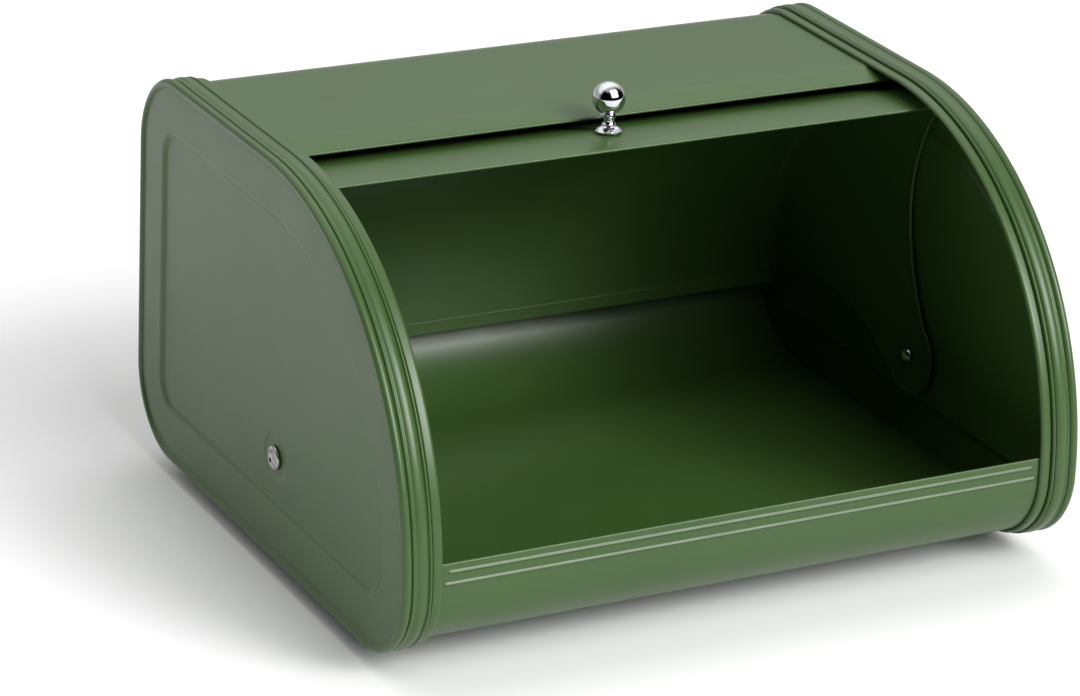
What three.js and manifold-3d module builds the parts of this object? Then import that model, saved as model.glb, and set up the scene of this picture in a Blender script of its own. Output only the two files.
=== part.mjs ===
// Roll-top bread box: a sheet-steel body between two D-shaped end panels, with a curved lid that turns
// back inside the box on two arms. Millimetres, +X to the box's right end, +Y to its back, +Z up.
// The origin is on the table under the box's middle, and the lid is drawn open.
import * as THREE from "three";
import { mergeGeometries, mergeVertices } from "three/addons/utils/BufferGeometryUtils.js";
import { ParametricGeometry } from "three/addons/geometries/ParametricGeometry.js";
import Module from "manifold-3d";

const wasm = await Module();
wasm.setup();

const SHEET = 0.6; // thickness of every pressed sheet
const GAP = 0.3; // clearance between pieces that touch
const QUARTER = Math.PI / 2;

// End panel outline, seen from the side: a large front arc and three small corners.
const RIM_BOTTOM_Z = 7;
const CORNER_R = 35;
const FRONT_Y = -130;
const BACK_Y = 130;
const TOP_Z = 175;
const FRONT_ARC_R = 133;
const FRONT_ARC_STEPS = 20;
const CORNER_STEPS = 7;
const OUTLINE = [
  { y: FRONT_Y + FRONT_ARC_R, z: TOP_Z - FRONT_ARC_R, r: FRONT_ARC_R, start: 2, steps: FRONT_ARC_STEPS },
  { y: BACK_Y - CORNER_R, z: TOP_Z - CORNER_R, r: CORNER_R, start: 1, steps: CORNER_STEPS },
  { y: BACK_Y - CORNER_R, z: RIM_BOTTOM_Z + CORNER_R, r: CORNER_R, start: 0, steps: CORNER_STEPS },
  { y: FRONT_Y + CORNER_R, z: RIM_BOTTOM_Z + CORNER_R, r: CORNER_R, start: -1, steps: CORNER_STEPS },
];

// End panel: a face with a sunk middle, and a rolled rim of three beads.
const FACE_X = 151.5;
const MIDDLE_SINK = 1;
const MIDDLE_START = 22;
const MIDDLE_SLOPE = 3;
const RIM_WALL_INSET = 2.7;
const EDGE_BEAD = { x: 150.5, rx: 2, root: 1.9, rise: 1.9, from: -Math.PI / 3, to: Math.PI * 0.9 };
const WIDE_BEAD = { x: 145.1, rx: 3.3, root: 1.4, rise: 1.4, from: 0, to: Math.PI };
const NARROW_BEAD = { x: 140.65, rx: 0.65, root: 1.1, rise: 0.9, from: 0, to: Math.PI };
const BEAD_STEPS = 5;

// Raised hoop on the body sheet beside each rim.
const HOOP_IN_X = 135.2;
const HOOP_OUT_X = 139.6;
const HOOP_CREST_INSET = 1.2;
const HOOP_CHAMFER = 0.4;

// Body sheet: from the front lip down, under, up the back and over the top to the inclined strip.
const BODY_HALF_X = 150.3;
const BODY_INSET = 3;
const LIP_TOP_Z = 52;
const LIP_HEM = 2.4;
const LIP_RIDGE_Z = [48.5, 43.7];
const LIP_RIDGE_HALF = 0.9;
const LIP_RIDGE_RISE = 0.6;
const CREASE_Y = 25;
const STRIP_LENGTH = 11.6;
const STRIP_DROP = THREE.MathUtils.degToRad(15);
const STRIP_HEM = 2.4;

// Lid: a curved sheet about the pivot axis, open between its rear and front edges.
const PIVOT_Y = -7;
const PIVOT_Z = 50;
const LID_R = 116;
const LID_HALF_X = 146.7;
const LID_REAR = THREE.MathUtils.degToRad(-4.5);
const LID_FRONT = THREE.MathUtils.degToRad(94.5);
const LID_STEPS = 24;
const FRONT_HEM = 2.4;
const REAR_HEM = 5.5;

// Lid arm: a bent plate from the pivot to the lid's end edge, with a lip welded inside the lid.
const ARM_IN_X = LID_HALF_X + GAP;
const ARM_SHEET = 1;
const ARM_EYE_R = 18;
const ARM_LIP_WIDTH = 7;
const ARM_EYE_FROM = THREE.MathUtils.degToRad(124);
const ARM_EYE_TO = THREE.MathUtils.degToRad(300);
const ARM_REAR_BOW = new THREE.Vector2(68, 29);
const ARM_FRONT_BOW = new THREE.Vector2(24, 71);
const ARM_EDGE_STEPS = 8;

// Pivot hardware, along X at each end.
const SEAT_R = 9;
const SEAT_TAPER = 1.2;
const SEAT_SINK = 0.5;
const SEAT_X = FACE_X - MIDDLE_SINK - SEAT_SINK;
const SHANK_R = 2.5;
const ARM_HOLE_R = 2.59;
const PANEL_HOLE_R = 2.8;
const SCREW_HEAD_R = 5.2;
const SCREW_HEAD_H = 2.7;
const SCREW_SOCKET_R = 2.2;
const SCREW_SOCKET_DEPTH = 0.9;
const SPACER_R = 5;
const CAP_R = 3.4;
const CAP_H = 2.6;
const SHANK_IN_CAP = 0.7;

// Knob, along a radius of the lid, at its middle.
const KNOB_ANGLE = THREE.MathUtils.degToRad(85);
const KNOB_BALL_R = 6.85;
const KNOB_BALL_AT = 130.5;
const KNOB_NECK_R = 2.6;
const KNOB_COLLAR_R = 3.3;
const KNOB_COLLAR_H = 1.2;
const ROSETTE_R = 5.8;
const ROSETTE_H = 3;
const ROSETTE_SIDES = 12;
const KNOB_SCREW_R = 1.6;
const KNOB_SCREW_HOLE_R = 1.9;
const KNOB_SCREW_HEAD_R = 3.6;
const KNOB_SCREW_HEAD_H = 1.8;
const KNOB_SCREW_IN_NECK = 5;
const KNOB_WASHER_R = 5;
const KNOB_WASHER_H = 0.8;

// Feet: rubber buttons under the body sheet.
const FOOT_X = 110;
const FOOT_Y = 58;
const FOOT_R = 8;
const FOOT_EDGE = 0.8;

const LATHE_STEPS = 24;
const BALL_STEPS = 9;

const GREEN = { color: 0x6f8a64, roughness: 0.42, metalness: 0.1 };
const DARK_GREEN = { color: 0x5d7852, roughness: 0.42, metalness: 0.1 };
const CHROME = { color: 0xd6d9dc, roughness: 0.12, metalness: 1 };
const STEEL = { color: 0xb4b4b2, roughness: 0.3, metalness: 1 };
const NYLON = { color: 0xd9d8d2, roughness: 0.6, metalness: 0 };
const RUBBER = { color: 0x2a2b29, roughness: 0.9, metalness: 0 };

// Bring shape coordinates (across, up, along) to the box's (Y, Z, X).
const SIDE_ON = new THREE.Matrix4().makeBasis(
  new THREE.Vector3(0, 1, 0),
  new THREE.Vector3(0, 0, 1),
  new THREE.Vector3(1, 0, 0),
);

function polar(radius, angle, centreY = 0, centreZ = 0) {
  return new THREE.Vector2(centreY + radius * Math.cos(angle), centreZ + radius * Math.sin(angle));
}

function arcPoints(radius, from, to, steps, centreY = 0, centreZ = 0) {
  const at = (step) => from + ((to - from) * step) / steps;
  return Array.from({ length: steps + 1 }, (_, step) => polar(radius, at(step), centreY, centreZ));
}

// Points round the end panel's outline, moved inwards by an inset.
function outlinePoints(inset) {
  return OUTLINE.flatMap(({ y, z, r, start, steps }) =>
    arcPoints(r - inset, start * QUARTER, (start - 1) * QUARTER, steps, y, z),
  );
}

// One of the outline's arcs, with an optional shorter start or end.
function outlineArc(index, inset, from, to) {
  const { y, z, r, start, steps } = OUTLINE[index];
  return arcPoints(r - inset, from ?? start * QUARTER, to ?? (start - 1) * QUARTER, steps, y, z);
}

// A sheet laid along a path: the path is its outer face, and its inner face lies on the right.
function sheetShape(path, thickness) {
  const inner = path.map((point, index) => {
    const before = path[Math.max(index - 1, 0)];
    const after = path[Math.min(index + 1, path.length - 1)];
    const inDir = point.clone().sub(before).normalize();
    const outDir = after.clone().sub(point).normalize();
    const along = inDir.clone().add(outDir).normalize();
    const facing = inDir.lengthSq() && outDir.lengthSq() ? along.dot(outDir) : 1;
    return new THREE.Vector2(along.y, -along.x).multiplyScalar(thickness / facing).add(point);
  });
  return new THREE.Shape([...path, ...inner.reverse()]);
}

function extrudeAlongX(shape, fromX, toX) {
  const geometry = new THREE.ExtrudeGeometry(shape, { depth: toX - fromX, bevelEnabled: false });
  return geometry.translate(0, 0, fromX).applyMatrix4(SIDE_ON);
}

function solid(geometry) {
  const bare = geometry.clone();
  bare.deleteAttribute("normal");
  bare.deleteAttribute("uv");
  const merged = mergeVertices(bare, 1e-4);
  const vertProperties = merged.attributes.position.array;
  const triVerts = new Uint32Array(merged.index.array);
  return new wasm.Manifold(new wasm.Mesh({ numProp: 3, vertProperties, triVerts }));
}

function geometryOf(manifold) {
  const { vertProperties, triVerts } = manifold.getMesh();
  const geometry = new THREE.BufferGeometry();
  geometry.setAttribute("position", new THREE.BufferAttribute(vertProperties, 3));
  geometry.setIndex(new THREE.BufferAttribute(triVerts, 1));
  const faceted = geometry.toNonIndexed();
  faceted.computeVertexNormals();
  return faceted;
}

// A turned piece along X about the pivot axis, from (radius, x) profile points.
function turnedAlongX(profile) {
  const geometry = new THREE.LatheGeometry(profile, LATHE_STEPS);
  return geometry.rotateZ(-QUARTER).translate(0, PIVOT_Y, PIVOT_Z);
}

function cylinderAlongX(radius, fromX, toX, endRadius = radius) {
  const geometry = new THREE.CylinderGeometry(endRadius, radius, toX - fromX, LATHE_STEPS);
  return geometry.rotateZ(-QUARTER).translate((fromX + toX) / 2, PIVOT_Y, PIVOT_Z);
}

// Closed (x, inset) section of a panel, carried round the outline with both ends capped.
function loftRound(section) {
  const around = outlinePoints(0).length;
  const rings = section.map(({ inset }) => outlinePoints(inset));
  const place = (u, v, target) => {
    const index = Math.round(v * (section.length - 1));
    const point = rings[index][Math.round(u * around) % around];
    target.set(section[index].x, point.x, point.y);
  };
  return new ParametricGeometry(place, around, section.length - 1);
}

function beadPoints({ x, rx, root, rise, from, to }) {
  return arcPoints(1, from, to, BEAD_STEPS).map((unit) => ({
    x: x + rx * unit.x,
    inset: root - rise * unit.y,
  }));
}

function capAt(x, inset, facesOut) {
  const outline = outlinePoints(inset);
  const face = new THREE.ShapeGeometry(new THREE.Shape(outline));
  const geometry = face.applyMatrix4(SIDE_ON).translate(x, 0, 0);
  if (!facesOut) {
    geometry.index.array.reverse();
  }
  return geometry;
}

function panelSection() {
  const middle = MIDDLE_START + MIDDLE_SLOPE;
  return [
    { x: FACE_X - MIDDLE_SINK, inset: middle },
    { x: FACE_X, inset: MIDDLE_START },
    ...beadPoints(EDGE_BEAD),
    ...beadPoints(WIDE_BEAD),
    ...beadPoints(NARROW_BEAD),
    { x: NARROW_BEAD.x - NARROW_BEAD.rx, inset: RIM_WALL_INSET },
    { x: FACE_X - SHEET, inset: RIM_WALL_INSET },
    { x: FACE_X - SHEET, inset: MIDDLE_START },
    { x: FACE_X - SHEET - MIDDLE_SINK, inset: middle },
  ];
}

function pressedPanel() {
  const section = panelSection();
  const outer = section[0];
  const inner = section[section.length - 1];
  const pieces = [loftRound(section), capAt(outer.x, outer.inset, true), capAt(inner.x, inner.inset, false)];
  return solid(mergeGeometries(pieces));
}

// The end panel with its sunk pivot seat and the hole for the pivot screw.
function panelGeometry() {
  const middleX = FACE_X - MIDDLE_SINK;
  const backX = SEAT_X - SHEET;
  const recessR = SEAT_R - SHEET;
  const boss = solid(cylinderAlongX(SEAT_R, backX, middleX - SHEET / 2, SEAT_R + SEAT_TAPER));
  const recess = solid(cylinderAlongX(recessR, SEAT_X, middleX + SEAT_SINK, recessR + 2 * SEAT_TAPER));
  const hole = solid(cylinderAlongX(PANEL_HOLE_R, backX - SHEET, middleX + SHEET));
  return geometryOf(pressedPanel().add(boss).subtract(recess).subtract(hole));
}

function hoopGeometry() {
  const section = [
    { x: HOOP_OUT_X, inset: RIM_WALL_INSET },
    { x: HOOP_OUT_X, inset: HOOP_CREST_INSET + HOOP_CHAMFER },
    { x: HOOP_OUT_X - HOOP_CHAMFER, inset: HOOP_CREST_INSET },
    { x: HOOP_IN_X + HOOP_CHAMFER, inset: HOOP_CREST_INSET },
    { x: HOOP_IN_X, inset: HOOP_CREST_INSET + HOOP_CHAMFER },
    { x: HOOP_IN_X, inset: RIM_WALL_INSET },
    { x: HOOP_OUT_X, inset: RIM_WALL_INSET },
  ];
  return loftRound(section);
}

// Outer face of the lip at a height, on the front arc or the corner below it.
function lipPoint(z, rise = 0) {
  const arc = OUTLINE[z >= RIM_BOTTOM_Z + CORNER_R ? 0 : 3];
  const radius = arc.r - BODY_INSET;
  return new THREE.Vector2(arc.y - Math.sqrt(radius ** 2 - (z - arc.z) ** 2) - rise, z);
}

// Cross-section of a pressed ridge across the lip, rooted half way into the sheet.
function ridgeShape(z) {
  return new THREE.Shape([
    lipPoint(z - LIP_RIDGE_HALF, -SHEET / 2),
    lipPoint(z + LIP_RIDGE_HALF, -SHEET / 2),
    lipPoint(z + LIP_RIDGE_HALF, -LIP_RIDGE_RISE / 3),
    lipPoint(z, LIP_RIDGE_RISE),
    lipPoint(z - LIP_RIDGE_HALF, -LIP_RIDGE_RISE / 3),
  ]);
}

// The body sheet's outer face, from the strip's edge round the back to the lip's top.
function bodyPath() {
  const crease = new THREE.Vector2(CREASE_Y, TOP_Z - BODY_INSET);
  const slope = new THREE.Vector2(-Math.cos(STRIP_DROP), -Math.sin(STRIP_DROP));
  const edge = slope.multiplyScalar(STRIP_LENGTH).add(crease);
  const corners = [1, 2, 3].flatMap((index) => outlineArc(index, BODY_INSET));
  return [edge, crease, ...corners, lipPoint(LIP_TOP_Z)];
}

function bodyGeometry() {
  const path = bodyPath();
  const sheet = solid(extrudeAlongX(sheetShape(path, SHEET), -BODY_HALF_X, BODY_HALF_X));
  const stripHem = path.slice(0, 2).map((point) => point.clone());
  stripHem[1].lerpVectors(stripHem[0], stripHem[1], STRIP_HEM / STRIP_LENGTH);
  const lipHem = [lipPoint(LIP_TOP_Z - LIP_HEM), lipPoint(LIP_TOP_Z)];
  const hems = [stripHem, lipHem].map((line) => sheetShape(line, 2 * SHEET));
  const ridges = LIP_RIDGE_Z.map((z) => ridgeShape(z));
  const halfX = HOOP_IN_X - GAP;
  const added = [...hems, ...ridges].map((shape) => solid(extrudeAlongX(shape, -halfX, halfX)));
  return geometryOf(added.reduce((whole, piece) => whole.add(piece), sheet));
}

// Part of a cylinder shell about the pivot axis, between two angles.
function shellGeometry(outerR, thickness, from, to, steps, fromX, toX) {
  const outer = arcPoints(outerR, from, to, steps, PIVOT_Y, PIVOT_Z);
  const inner = arcPoints(outerR - thickness, to, from, steps, PIVOT_Y, PIVOT_Z);
  return extrudeAlongX(new THREE.Shape([...outer, ...inner]), fromX, toX);
}

function alongKnob(geometry) {
  return geometry.rotateX(KNOB_ANGLE).translate(0, PIVOT_Y, PIVOT_Z);
}

function lidGeometry() {
  const shell = (thickness, from, to, steps) =>
    solid(shellGeometry(LID_R, thickness, from, to, steps, -LID_HALF_X, LID_HALF_X));
  const frontHem = shell(2 * SHEET, LID_FRONT - FRONT_HEM / LID_R, LID_FRONT, 1);
  const rearHem = shell(2 * SHEET, LID_REAR, LID_REAR + REAR_HEM / LID_R, 2);
  const drill = new THREE.CylinderGeometry(KNOB_SCREW_HOLE_R, KNOB_SCREW_HOLE_R, 4 * SHEET, LATHE_STEPS);
  const hole = solid(alongKnob(drill.translate(0, LID_R, 0)));
  return geometryOf(shell(SHEET, LID_REAR, LID_FRONT, LID_STEPS).add(frontHem).add(rearHem).subtract(hole));
}

// The arm's plate about the pivot: round eye, bowed front and rear edges, outer edge on the lid's curve.
function armShape() {
  const rearTip = polar(LID_R, LID_REAR);
  const frontTip = polar(LID_R, LID_FRONT);
  const eye = arcPoints(ARM_EYE_R, ARM_EYE_FROM, ARM_EYE_TO, ARM_EDGE_STEPS);
  const front = new THREE.QuadraticBezierCurve(frontTip, ARM_FRONT_BOW, eye[0]).getPoints(ARM_EDGE_STEPS);
  const rear = new THREE.QuadraticBezierCurve(eye.at(-1), ARM_REAR_BOW, rearTip).getPoints(ARM_EDGE_STEPS);
  const rim = arcPoints(LID_R, LID_REAR, LID_FRONT, LID_STEPS);
  const outline = [...rim.slice(1), ...front.slice(1), ...eye.slice(1), ...rear.slice(1)];
  return new THREE.Shape(outline.map((point) => point.add(new THREE.Vector2(PIVOT_Y, PIVOT_Z))));
}

function armGeometry() {
  const plate = solid(extrudeAlongX(armShape(), ARM_IN_X, ARM_IN_X + ARM_SHEET));
  const lipR = LID_R - SHEET - GAP;
  const from = LID_REAR + (REAR_HEM + 2) / LID_R;
  const to = LID_FRONT - (FRONT_HEM + 2) / LID_R;
  const lipInX = LID_HALF_X - ARM_LIP_WIDTH;
  const lip = solid(shellGeometry(lipR, SHEET, from, to, LID_STEPS, lipInX, ARM_IN_X + ARM_SHEET / 2));
  const hole = solid(cylinderAlongX(ARM_HOLE_R, ARM_IN_X - ARM_SHEET, ARM_IN_X + 2 * ARM_SHEET));
  return geometryOf(plate.add(lip).subtract(hole));
}

function domePoints(radius, height, baseX, towards, steps) {
  return arcPoints(1, 0, QUARTER, steps).map(
    (unit) => new THREE.Vector2(radius * unit.x, baseX + towards * height * unit.y),
  );
}

const CAP_BASE_X = ARM_IN_X - GAP;

function pivotScrewGeometry() {
  const headX = SEAT_X + GAP;
  const crown = headX + SCREW_HEAD_H;
  const dome = domePoints(SCREW_HEAD_R, SCREW_HEAD_H, headX, 1, LATHE_STEPS / 4).filter(
    (point) => point.x > SCREW_SOCKET_R,
  );
  return turnedAlongX([
    new THREE.Vector2(0, CAP_BASE_X - SHANK_IN_CAP),
    new THREE.Vector2(SHANK_R, CAP_BASE_X - SHANK_IN_CAP),
    new THREE.Vector2(SHANK_R, headX),
    ...dome,
    new THREE.Vector2(SCREW_SOCKET_R, crown - SCREW_SOCKET_DEPTH / 3),
    new THREE.Vector2(0, crown - SCREW_SOCKET_DEPTH),
  ]);
}

function tubeGeometry(innerR, outerR, fromX, toX) {
  return turnedAlongX([
    new THREE.Vector2(innerR, fromX),
    new THREE.Vector2(outerR, fromX),
    new THREE.Vector2(outerR, toX),
    new THREE.Vector2(innerR, toX),
    new THREE.Vector2(innerR, fromX),
  ]);
}

function spacerGeometry() {
  const fromX = ARM_IN_X + ARM_SHEET + GAP;
  return tubeGeometry(PANEL_HOLE_R, SPACER_R, fromX, SEAT_X - SHEET - GAP);
}

// Domed cap nut on the screw's inner end, hollow where the shank enters.
function capGeometry() {
  const bore = SHANK_R + GAP;
  const depth = CAP_BASE_X - SHANK_IN_CAP - GAP;
  const dome = domePoints(CAP_R, CAP_H, CAP_BASE_X, -1, LATHE_STEPS / 4).toReversed();
  return turnedAlongX([
    ...dome,
    new THREE.Vector2(bore, CAP_BASE_X),
    new THREE.Vector2(bore, depth),
    new THREE.Vector2(0, depth),
  ]);
}

// A turned piece along the knob's radius, from (radius, distance from the pivot axis) points.
function turnedOnKnob(profile, sides = LATHE_STEPS) {
  return alongKnob(new THREE.LatheGeometry(profile, sides));
}

function knobBallGeometry() {
  const start = LID_R + 2 * GAP + ROSETTE_H;
  const screwTip = LID_R + KNOB_SCREW_IN_NECK + ROSETTE_H + 2 * GAP;
  const collar = KNOB_BALL_AT - KNOB_BALL_R - KNOB_COLLAR_H / 2;
  const ballFrom = Math.asin(KNOB_COLLAR_R / KNOB_BALL_R) - QUARTER;
  return turnedOnKnob([
    new THREE.Vector2(0, screwTip),
    new THREE.Vector2(KNOB_SCREW_HOLE_R, screwTip),
    new THREE.Vector2(KNOB_SCREW_HOLE_R, start),
    new THREE.Vector2(KNOB_NECK_R, start),
    new THREE.Vector2(KNOB_NECK_R, collar),
    new THREE.Vector2(KNOB_COLLAR_R, collar + KNOB_COLLAR_H / 2),
    ...arcPoints(KNOB_BALL_R, ballFrom, QUARTER, BALL_STEPS, 0, KNOB_BALL_AT),
  ]);
}

function rosetteGeometry() {
  const base = LID_R + GAP;
  return turnedOnKnob(
    [
      new THREE.Vector2(KNOB_SCREW_HOLE_R, base),
      new THREE.Vector2(ROSETTE_R - GAP, base),
      new THREE.Vector2(ROSETTE_R, base + ROSETTE_H / 3),
      new THREE.Vector2(KNOB_COLLAR_R, base + ROSETTE_H),
      new THREE.Vector2(KNOB_SCREW_HOLE_R, base + ROSETTE_H),
      new THREE.Vector2(KNOB_SCREW_HOLE_R, base),
    ],
    ROSETTE_SIDES,
  );
}

function knobScrewGeometry() {
  const top = LID_R - SHEET - 2 * GAP - KNOB_WASHER_H;
  const tip = LID_R + ROSETTE_H + KNOB_SCREW_IN_NECK;
  return turnedOnKnob([
    new THREE.Vector2(0, top - KNOB_SCREW_HEAD_H),
    new THREE.Vector2(KNOB_SCREW_HEAD_R * Math.SQRT1_2, top - KNOB_SCREW_HEAD_H),
    new THREE.Vector2(KNOB_SCREW_HEAD_R, top - KNOB_SCREW_HEAD_H / 3),
    new THREE.Vector2(KNOB_SCREW_HEAD_R, top),
    new THREE.Vector2(KNOB_SCREW_R, top),
    new THREE.Vector2(KNOB_SCREW_R, tip),
    new THREE.Vector2(0, tip),
  ]);
}

function knobWasherGeometry() {
  const top = LID_R - SHEET - GAP;
  return turnedOnKnob([
    new THREE.Vector2(KNOB_SCREW_HOLE_R, top - KNOB_WASHER_H),
    new THREE.Vector2(KNOB_WASHER_R, top - KNOB_WASHER_H),
    new THREE.Vector2(KNOB_WASHER_R, top),
    new THREE.Vector2(KNOB_SCREW_HOLE_R, top),
    new THREE.Vector2(KNOB_SCREW_HOLE_R, top - KNOB_WASHER_H),
  ]);
}

function footGeometry() {
  const top = RIM_BOTTOM_Z + BODY_INSET - GAP;
  const profile = [
    new THREE.Vector2(0, 0),
    new THREE.Vector2(FOOT_R - 2 * FOOT_EDGE, 0),
    new THREE.Vector2(FOOT_R - FOOT_EDGE, FOOT_EDGE),
    new THREE.Vector2(FOOT_R, top),
    new THREE.Vector2(0, top),
  ];
  return new THREE.LatheGeometry(profile, LATHE_STEPS).rotateX(QUARTER);
}

const breadBox = new THREE.Group();

function addPiece(name, geometry, look) {
  const mesh = new THREE.Mesh(geometry, new THREE.MeshStandardMaterial(look));
  mesh.name = name;
  breadBox.add(mesh);
  return mesh;
}

// The right-hand piece as drawn, and the left-hand one as its mirror image.
function addPair(name, geometry, look) {
  addPiece(`right_${name}`, geometry, look);
  addPiece(`left_${name}`, geometry, look).scale.x = -1;
}

function addFeet() {
  const geometry = footGeometry();
  const places = { front_left: [-1, -1], front_right: [1, -1], back_left: [-1, 1], back_right: [1, 1] };
  for (const [name, [acrossX, acrossY]] of Object.entries(places)) {
    addPiece(`${name}_foot`, geometry, RUBBER).position.set(acrossX * FOOT_X, acrossY * FOOT_Y, 0);
  }
}

addPiece("body_shell", bodyGeometry(), GREEN);
addPair("side_panel", panelGeometry(), GREEN);
addPair("edge_hoop", hoopGeometry(), DARK_GREEN);
addPiece("lid_shell", lidGeometry(), GREEN);
addPair("lid_arm", armGeometry(), DARK_GREEN);
addPair("pivot_screw", pivotScrewGeometry(), STEEL);
addPair("pivot_spacer", spacerGeometry(), NYLON);
addPair("pivot_cap", capGeometry(), CHROME);
addPiece("knob_ball", knobBallGeometry(), CHROME);
addPiece("knob_rosette", rosetteGeometry(), CHROME);
addPiece("knob_screw", knobScrewGeometry(), STEEL);
addPiece("knob_washer", knobWasherGeometry(), STEEL);
addFeet();

export default breadBox;
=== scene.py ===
"""Looks of a roll-top bread box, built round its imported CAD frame.

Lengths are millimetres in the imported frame. make_piece(), turned_steel() and studio_camera()
turn them into metres.
"""

import math

import bmesh
import bpy
from mathutils import Matrix, Vector


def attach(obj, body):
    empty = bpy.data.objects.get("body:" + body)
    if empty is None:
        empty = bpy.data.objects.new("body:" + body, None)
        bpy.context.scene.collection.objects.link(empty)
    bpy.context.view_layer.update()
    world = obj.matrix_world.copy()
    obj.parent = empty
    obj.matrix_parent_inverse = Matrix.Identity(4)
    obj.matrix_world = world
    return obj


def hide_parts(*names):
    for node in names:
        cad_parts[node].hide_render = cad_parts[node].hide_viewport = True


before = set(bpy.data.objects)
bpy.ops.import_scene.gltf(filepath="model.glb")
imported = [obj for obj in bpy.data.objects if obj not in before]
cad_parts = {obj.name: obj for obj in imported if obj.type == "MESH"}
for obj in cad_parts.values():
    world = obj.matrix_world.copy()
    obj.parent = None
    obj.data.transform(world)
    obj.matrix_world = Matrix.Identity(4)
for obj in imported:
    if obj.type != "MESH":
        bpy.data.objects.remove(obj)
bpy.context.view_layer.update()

MM = 0.001
QUARTER = math.pi / 2

# ---------------------------------------------------------------- dimensions

SHEET = 0.6
FIT_GAP = 0.3
CHAMFER = 0.15
SHARP_ANGLE = math.radians(38.0)
RIM_BOTTOM_Z = 7.0
FRONT_Y = -130.0
BACK_Y = 130.0
TOP_Z = 175.0
FRONT_R = 133.0
CORNER_R = 35.0
FRONT_CENTRE = (FRONT_Y + FRONT_R, TOP_Z - FRONT_R)
ARCS = (
    (FRONT_CENTRE, FRONT_R, 2, 90),
    ((BACK_Y - CORNER_R, TOP_Z - CORNER_R), CORNER_R, 1, 28),
    ((BACK_Y - CORNER_R, RIM_BOTTOM_Z + CORNER_R), CORNER_R, 0, 28),
    ((FRONT_Y + CORNER_R, RIM_BOTTOM_Z + CORNER_R), CORNER_R, -1, 28),
)
STRAIGHT_STEPS = (12, 12, 24)

FACE_X = 151.5
MIDDLE_SINK = 1.3
MIDDLE_START = 21.0
MIDDLE_SLOPE = 4.6
SHOULDER_POWER = 1.6
SHOULDER_STEPS = 18
FLAT_GUARD = 0.8
FLAT_INSET = 14.0
# Distances of the two extra rings that keep the flat beside a step flat.
GUARDS = (1.2, 0.4)
# How far below the face, and how far in from the edge, the face rolls over towards the beads.
RIM_ROLL = ((0.0, 5.4), (0.03, 4.8), (0.14, 4.2))
# Each bead: centre x and inset, half width and half height, start and end in degrees, steps.
RIM_BEADS = (
    (150.45, 1.95, 2.05, 1.95, -60, 160, 22),
    (147.55, 1.30, 0.85, 0.90, 10, 128, 10),
    (144.3, 1.25, 2.55, 1.25, 32, 172, 18),
    (140.72, 1.20, 0.74, 1.0, 18, 180, 12),
)
RIM_WALL_INSET = 2.7
RIM_IN_X = 140.0

HOOP_IN_X = 135.2
HOOP_OUT_X = 139.6
HOOP_CREST = 1.2

BODY_HALF_X = 150.3
BODY_INSET = 3.0
INNER_BEND_R = 42.0
TOP_MIDDLE_Y = 60.0
BACK_WALL_Z = (60.0, 55.0, 51.0, 48.0, 45.0)
FLOOR_Y = (92.0, 88.0, 84.0, 78.0, 60.0, 20.0, -20.0, -60.0)
FRONT_BEND_DROP = 4.0
LIP_START_Z = 38.4
LIP_TOP_Z = 52.0
LIP_HEM = 3.0
RIDGES = ((48.5, 133.0), (43.7, 134.6))
RIDGE_HALF = 1.1
RIDGE_RISE = 0.6
RIDGE_FADE = 1.6
RIDGE_INSIDE = 0.8
CREASE_Y = 25.0
CREASE_R = 5.0
STRIP_LENGTH = 11.6
STRIP_DROP = math.radians(15)

PIVOT = (-7.0, 50.0)
LID_R = 116.0
LID_HALF_X = 146.7
LID_STATIONS = (-LID_HALF_X, -140.0, -70.0, 0.0, 70.0, 140.0, LID_HALF_X)
LID_REAR = math.radians(-4.5)
LID_FRONT = math.radians(94.5)
LID_FRONT_HEM = 2.6
LID_REAR_HEM = 5.5

ARM_IN_X = 147.0
ARM_SHEET = 1.0
ARM_EYE_R = 18.0
ARM_EYE = (math.radians(124), math.radians(300))
ARM_REAR_BOW = (68.0, 29.0)
ARM_FRONT_BOW = (24.0, 71.0)
ARM_LIP = 7.0
ARM_HOLE_R = 2.59
ARM_BOSS_R = 7.5
ARM_HOLE_SIDES = 48
# How far in from the arm's edge, and how far out from its inner face, its rolled rim runs.
ARM_ROLL = ((0.0, 0.5), (0.18, 0.1), (0.5, 0.0), (1.3, 0.0), (1.9, 0.12), (2.6, 0.42), (3.2, 0.5))

SEAT_R = 8.4
SEAT_TAPER = 2.6
SEAT_X = 149.9
PANEL_HOLE_R = 2.8
SPACER_R = 5.0
SCREW_SHANK_R = 2.5
SCREW_CROWN_R = 3.7
SCREW_CROWN_Z = 0.5
CAP_BASE_X = 146.7
CAP_H = 2.6
CAP_R = 3.4

KNOB_ANGLE = math.radians(85)
BALL_R = 6.85
BALL_AT = 130.5
ROSETTE_H = 3.0
KNOB_HOLE_R = 1.9
KNOB_HOLE_DEPTH = 5.0
WASHER_R = 5.0
WASHER_H = 0.8

FOOT_PLACES = {
    "front_left_foot": (-110.0, -58.0),
    "front_right_foot": (110.0, -58.0),
    "back_left_foot": (-110.0, 58.0),
    "back_right_foot": (110.0, 58.0),
}

# ---------------------------------------------------------------- small maths


def smooth(t):
    t = min(max(t, 0.0), 1.0)
    return t * t * (3 - 2 * t)


def steps(a, b, count):
    return [a + (b - a) * i / count for i in range(count + 1)]


def polar(radius, angle, centre=(0.0, 0.0)):
    return (centre[0] + radius * math.cos(angle), centre[1] + radius * math.sin(angle))


def between_points(a, b, count):
    """The inner points of a straight side cut into equal steps."""
    return [tuple(p + (q - p) * t for p, q in zip(a, b)) for t in steps(0.0, 1.0, count)[1:-1]]


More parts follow.
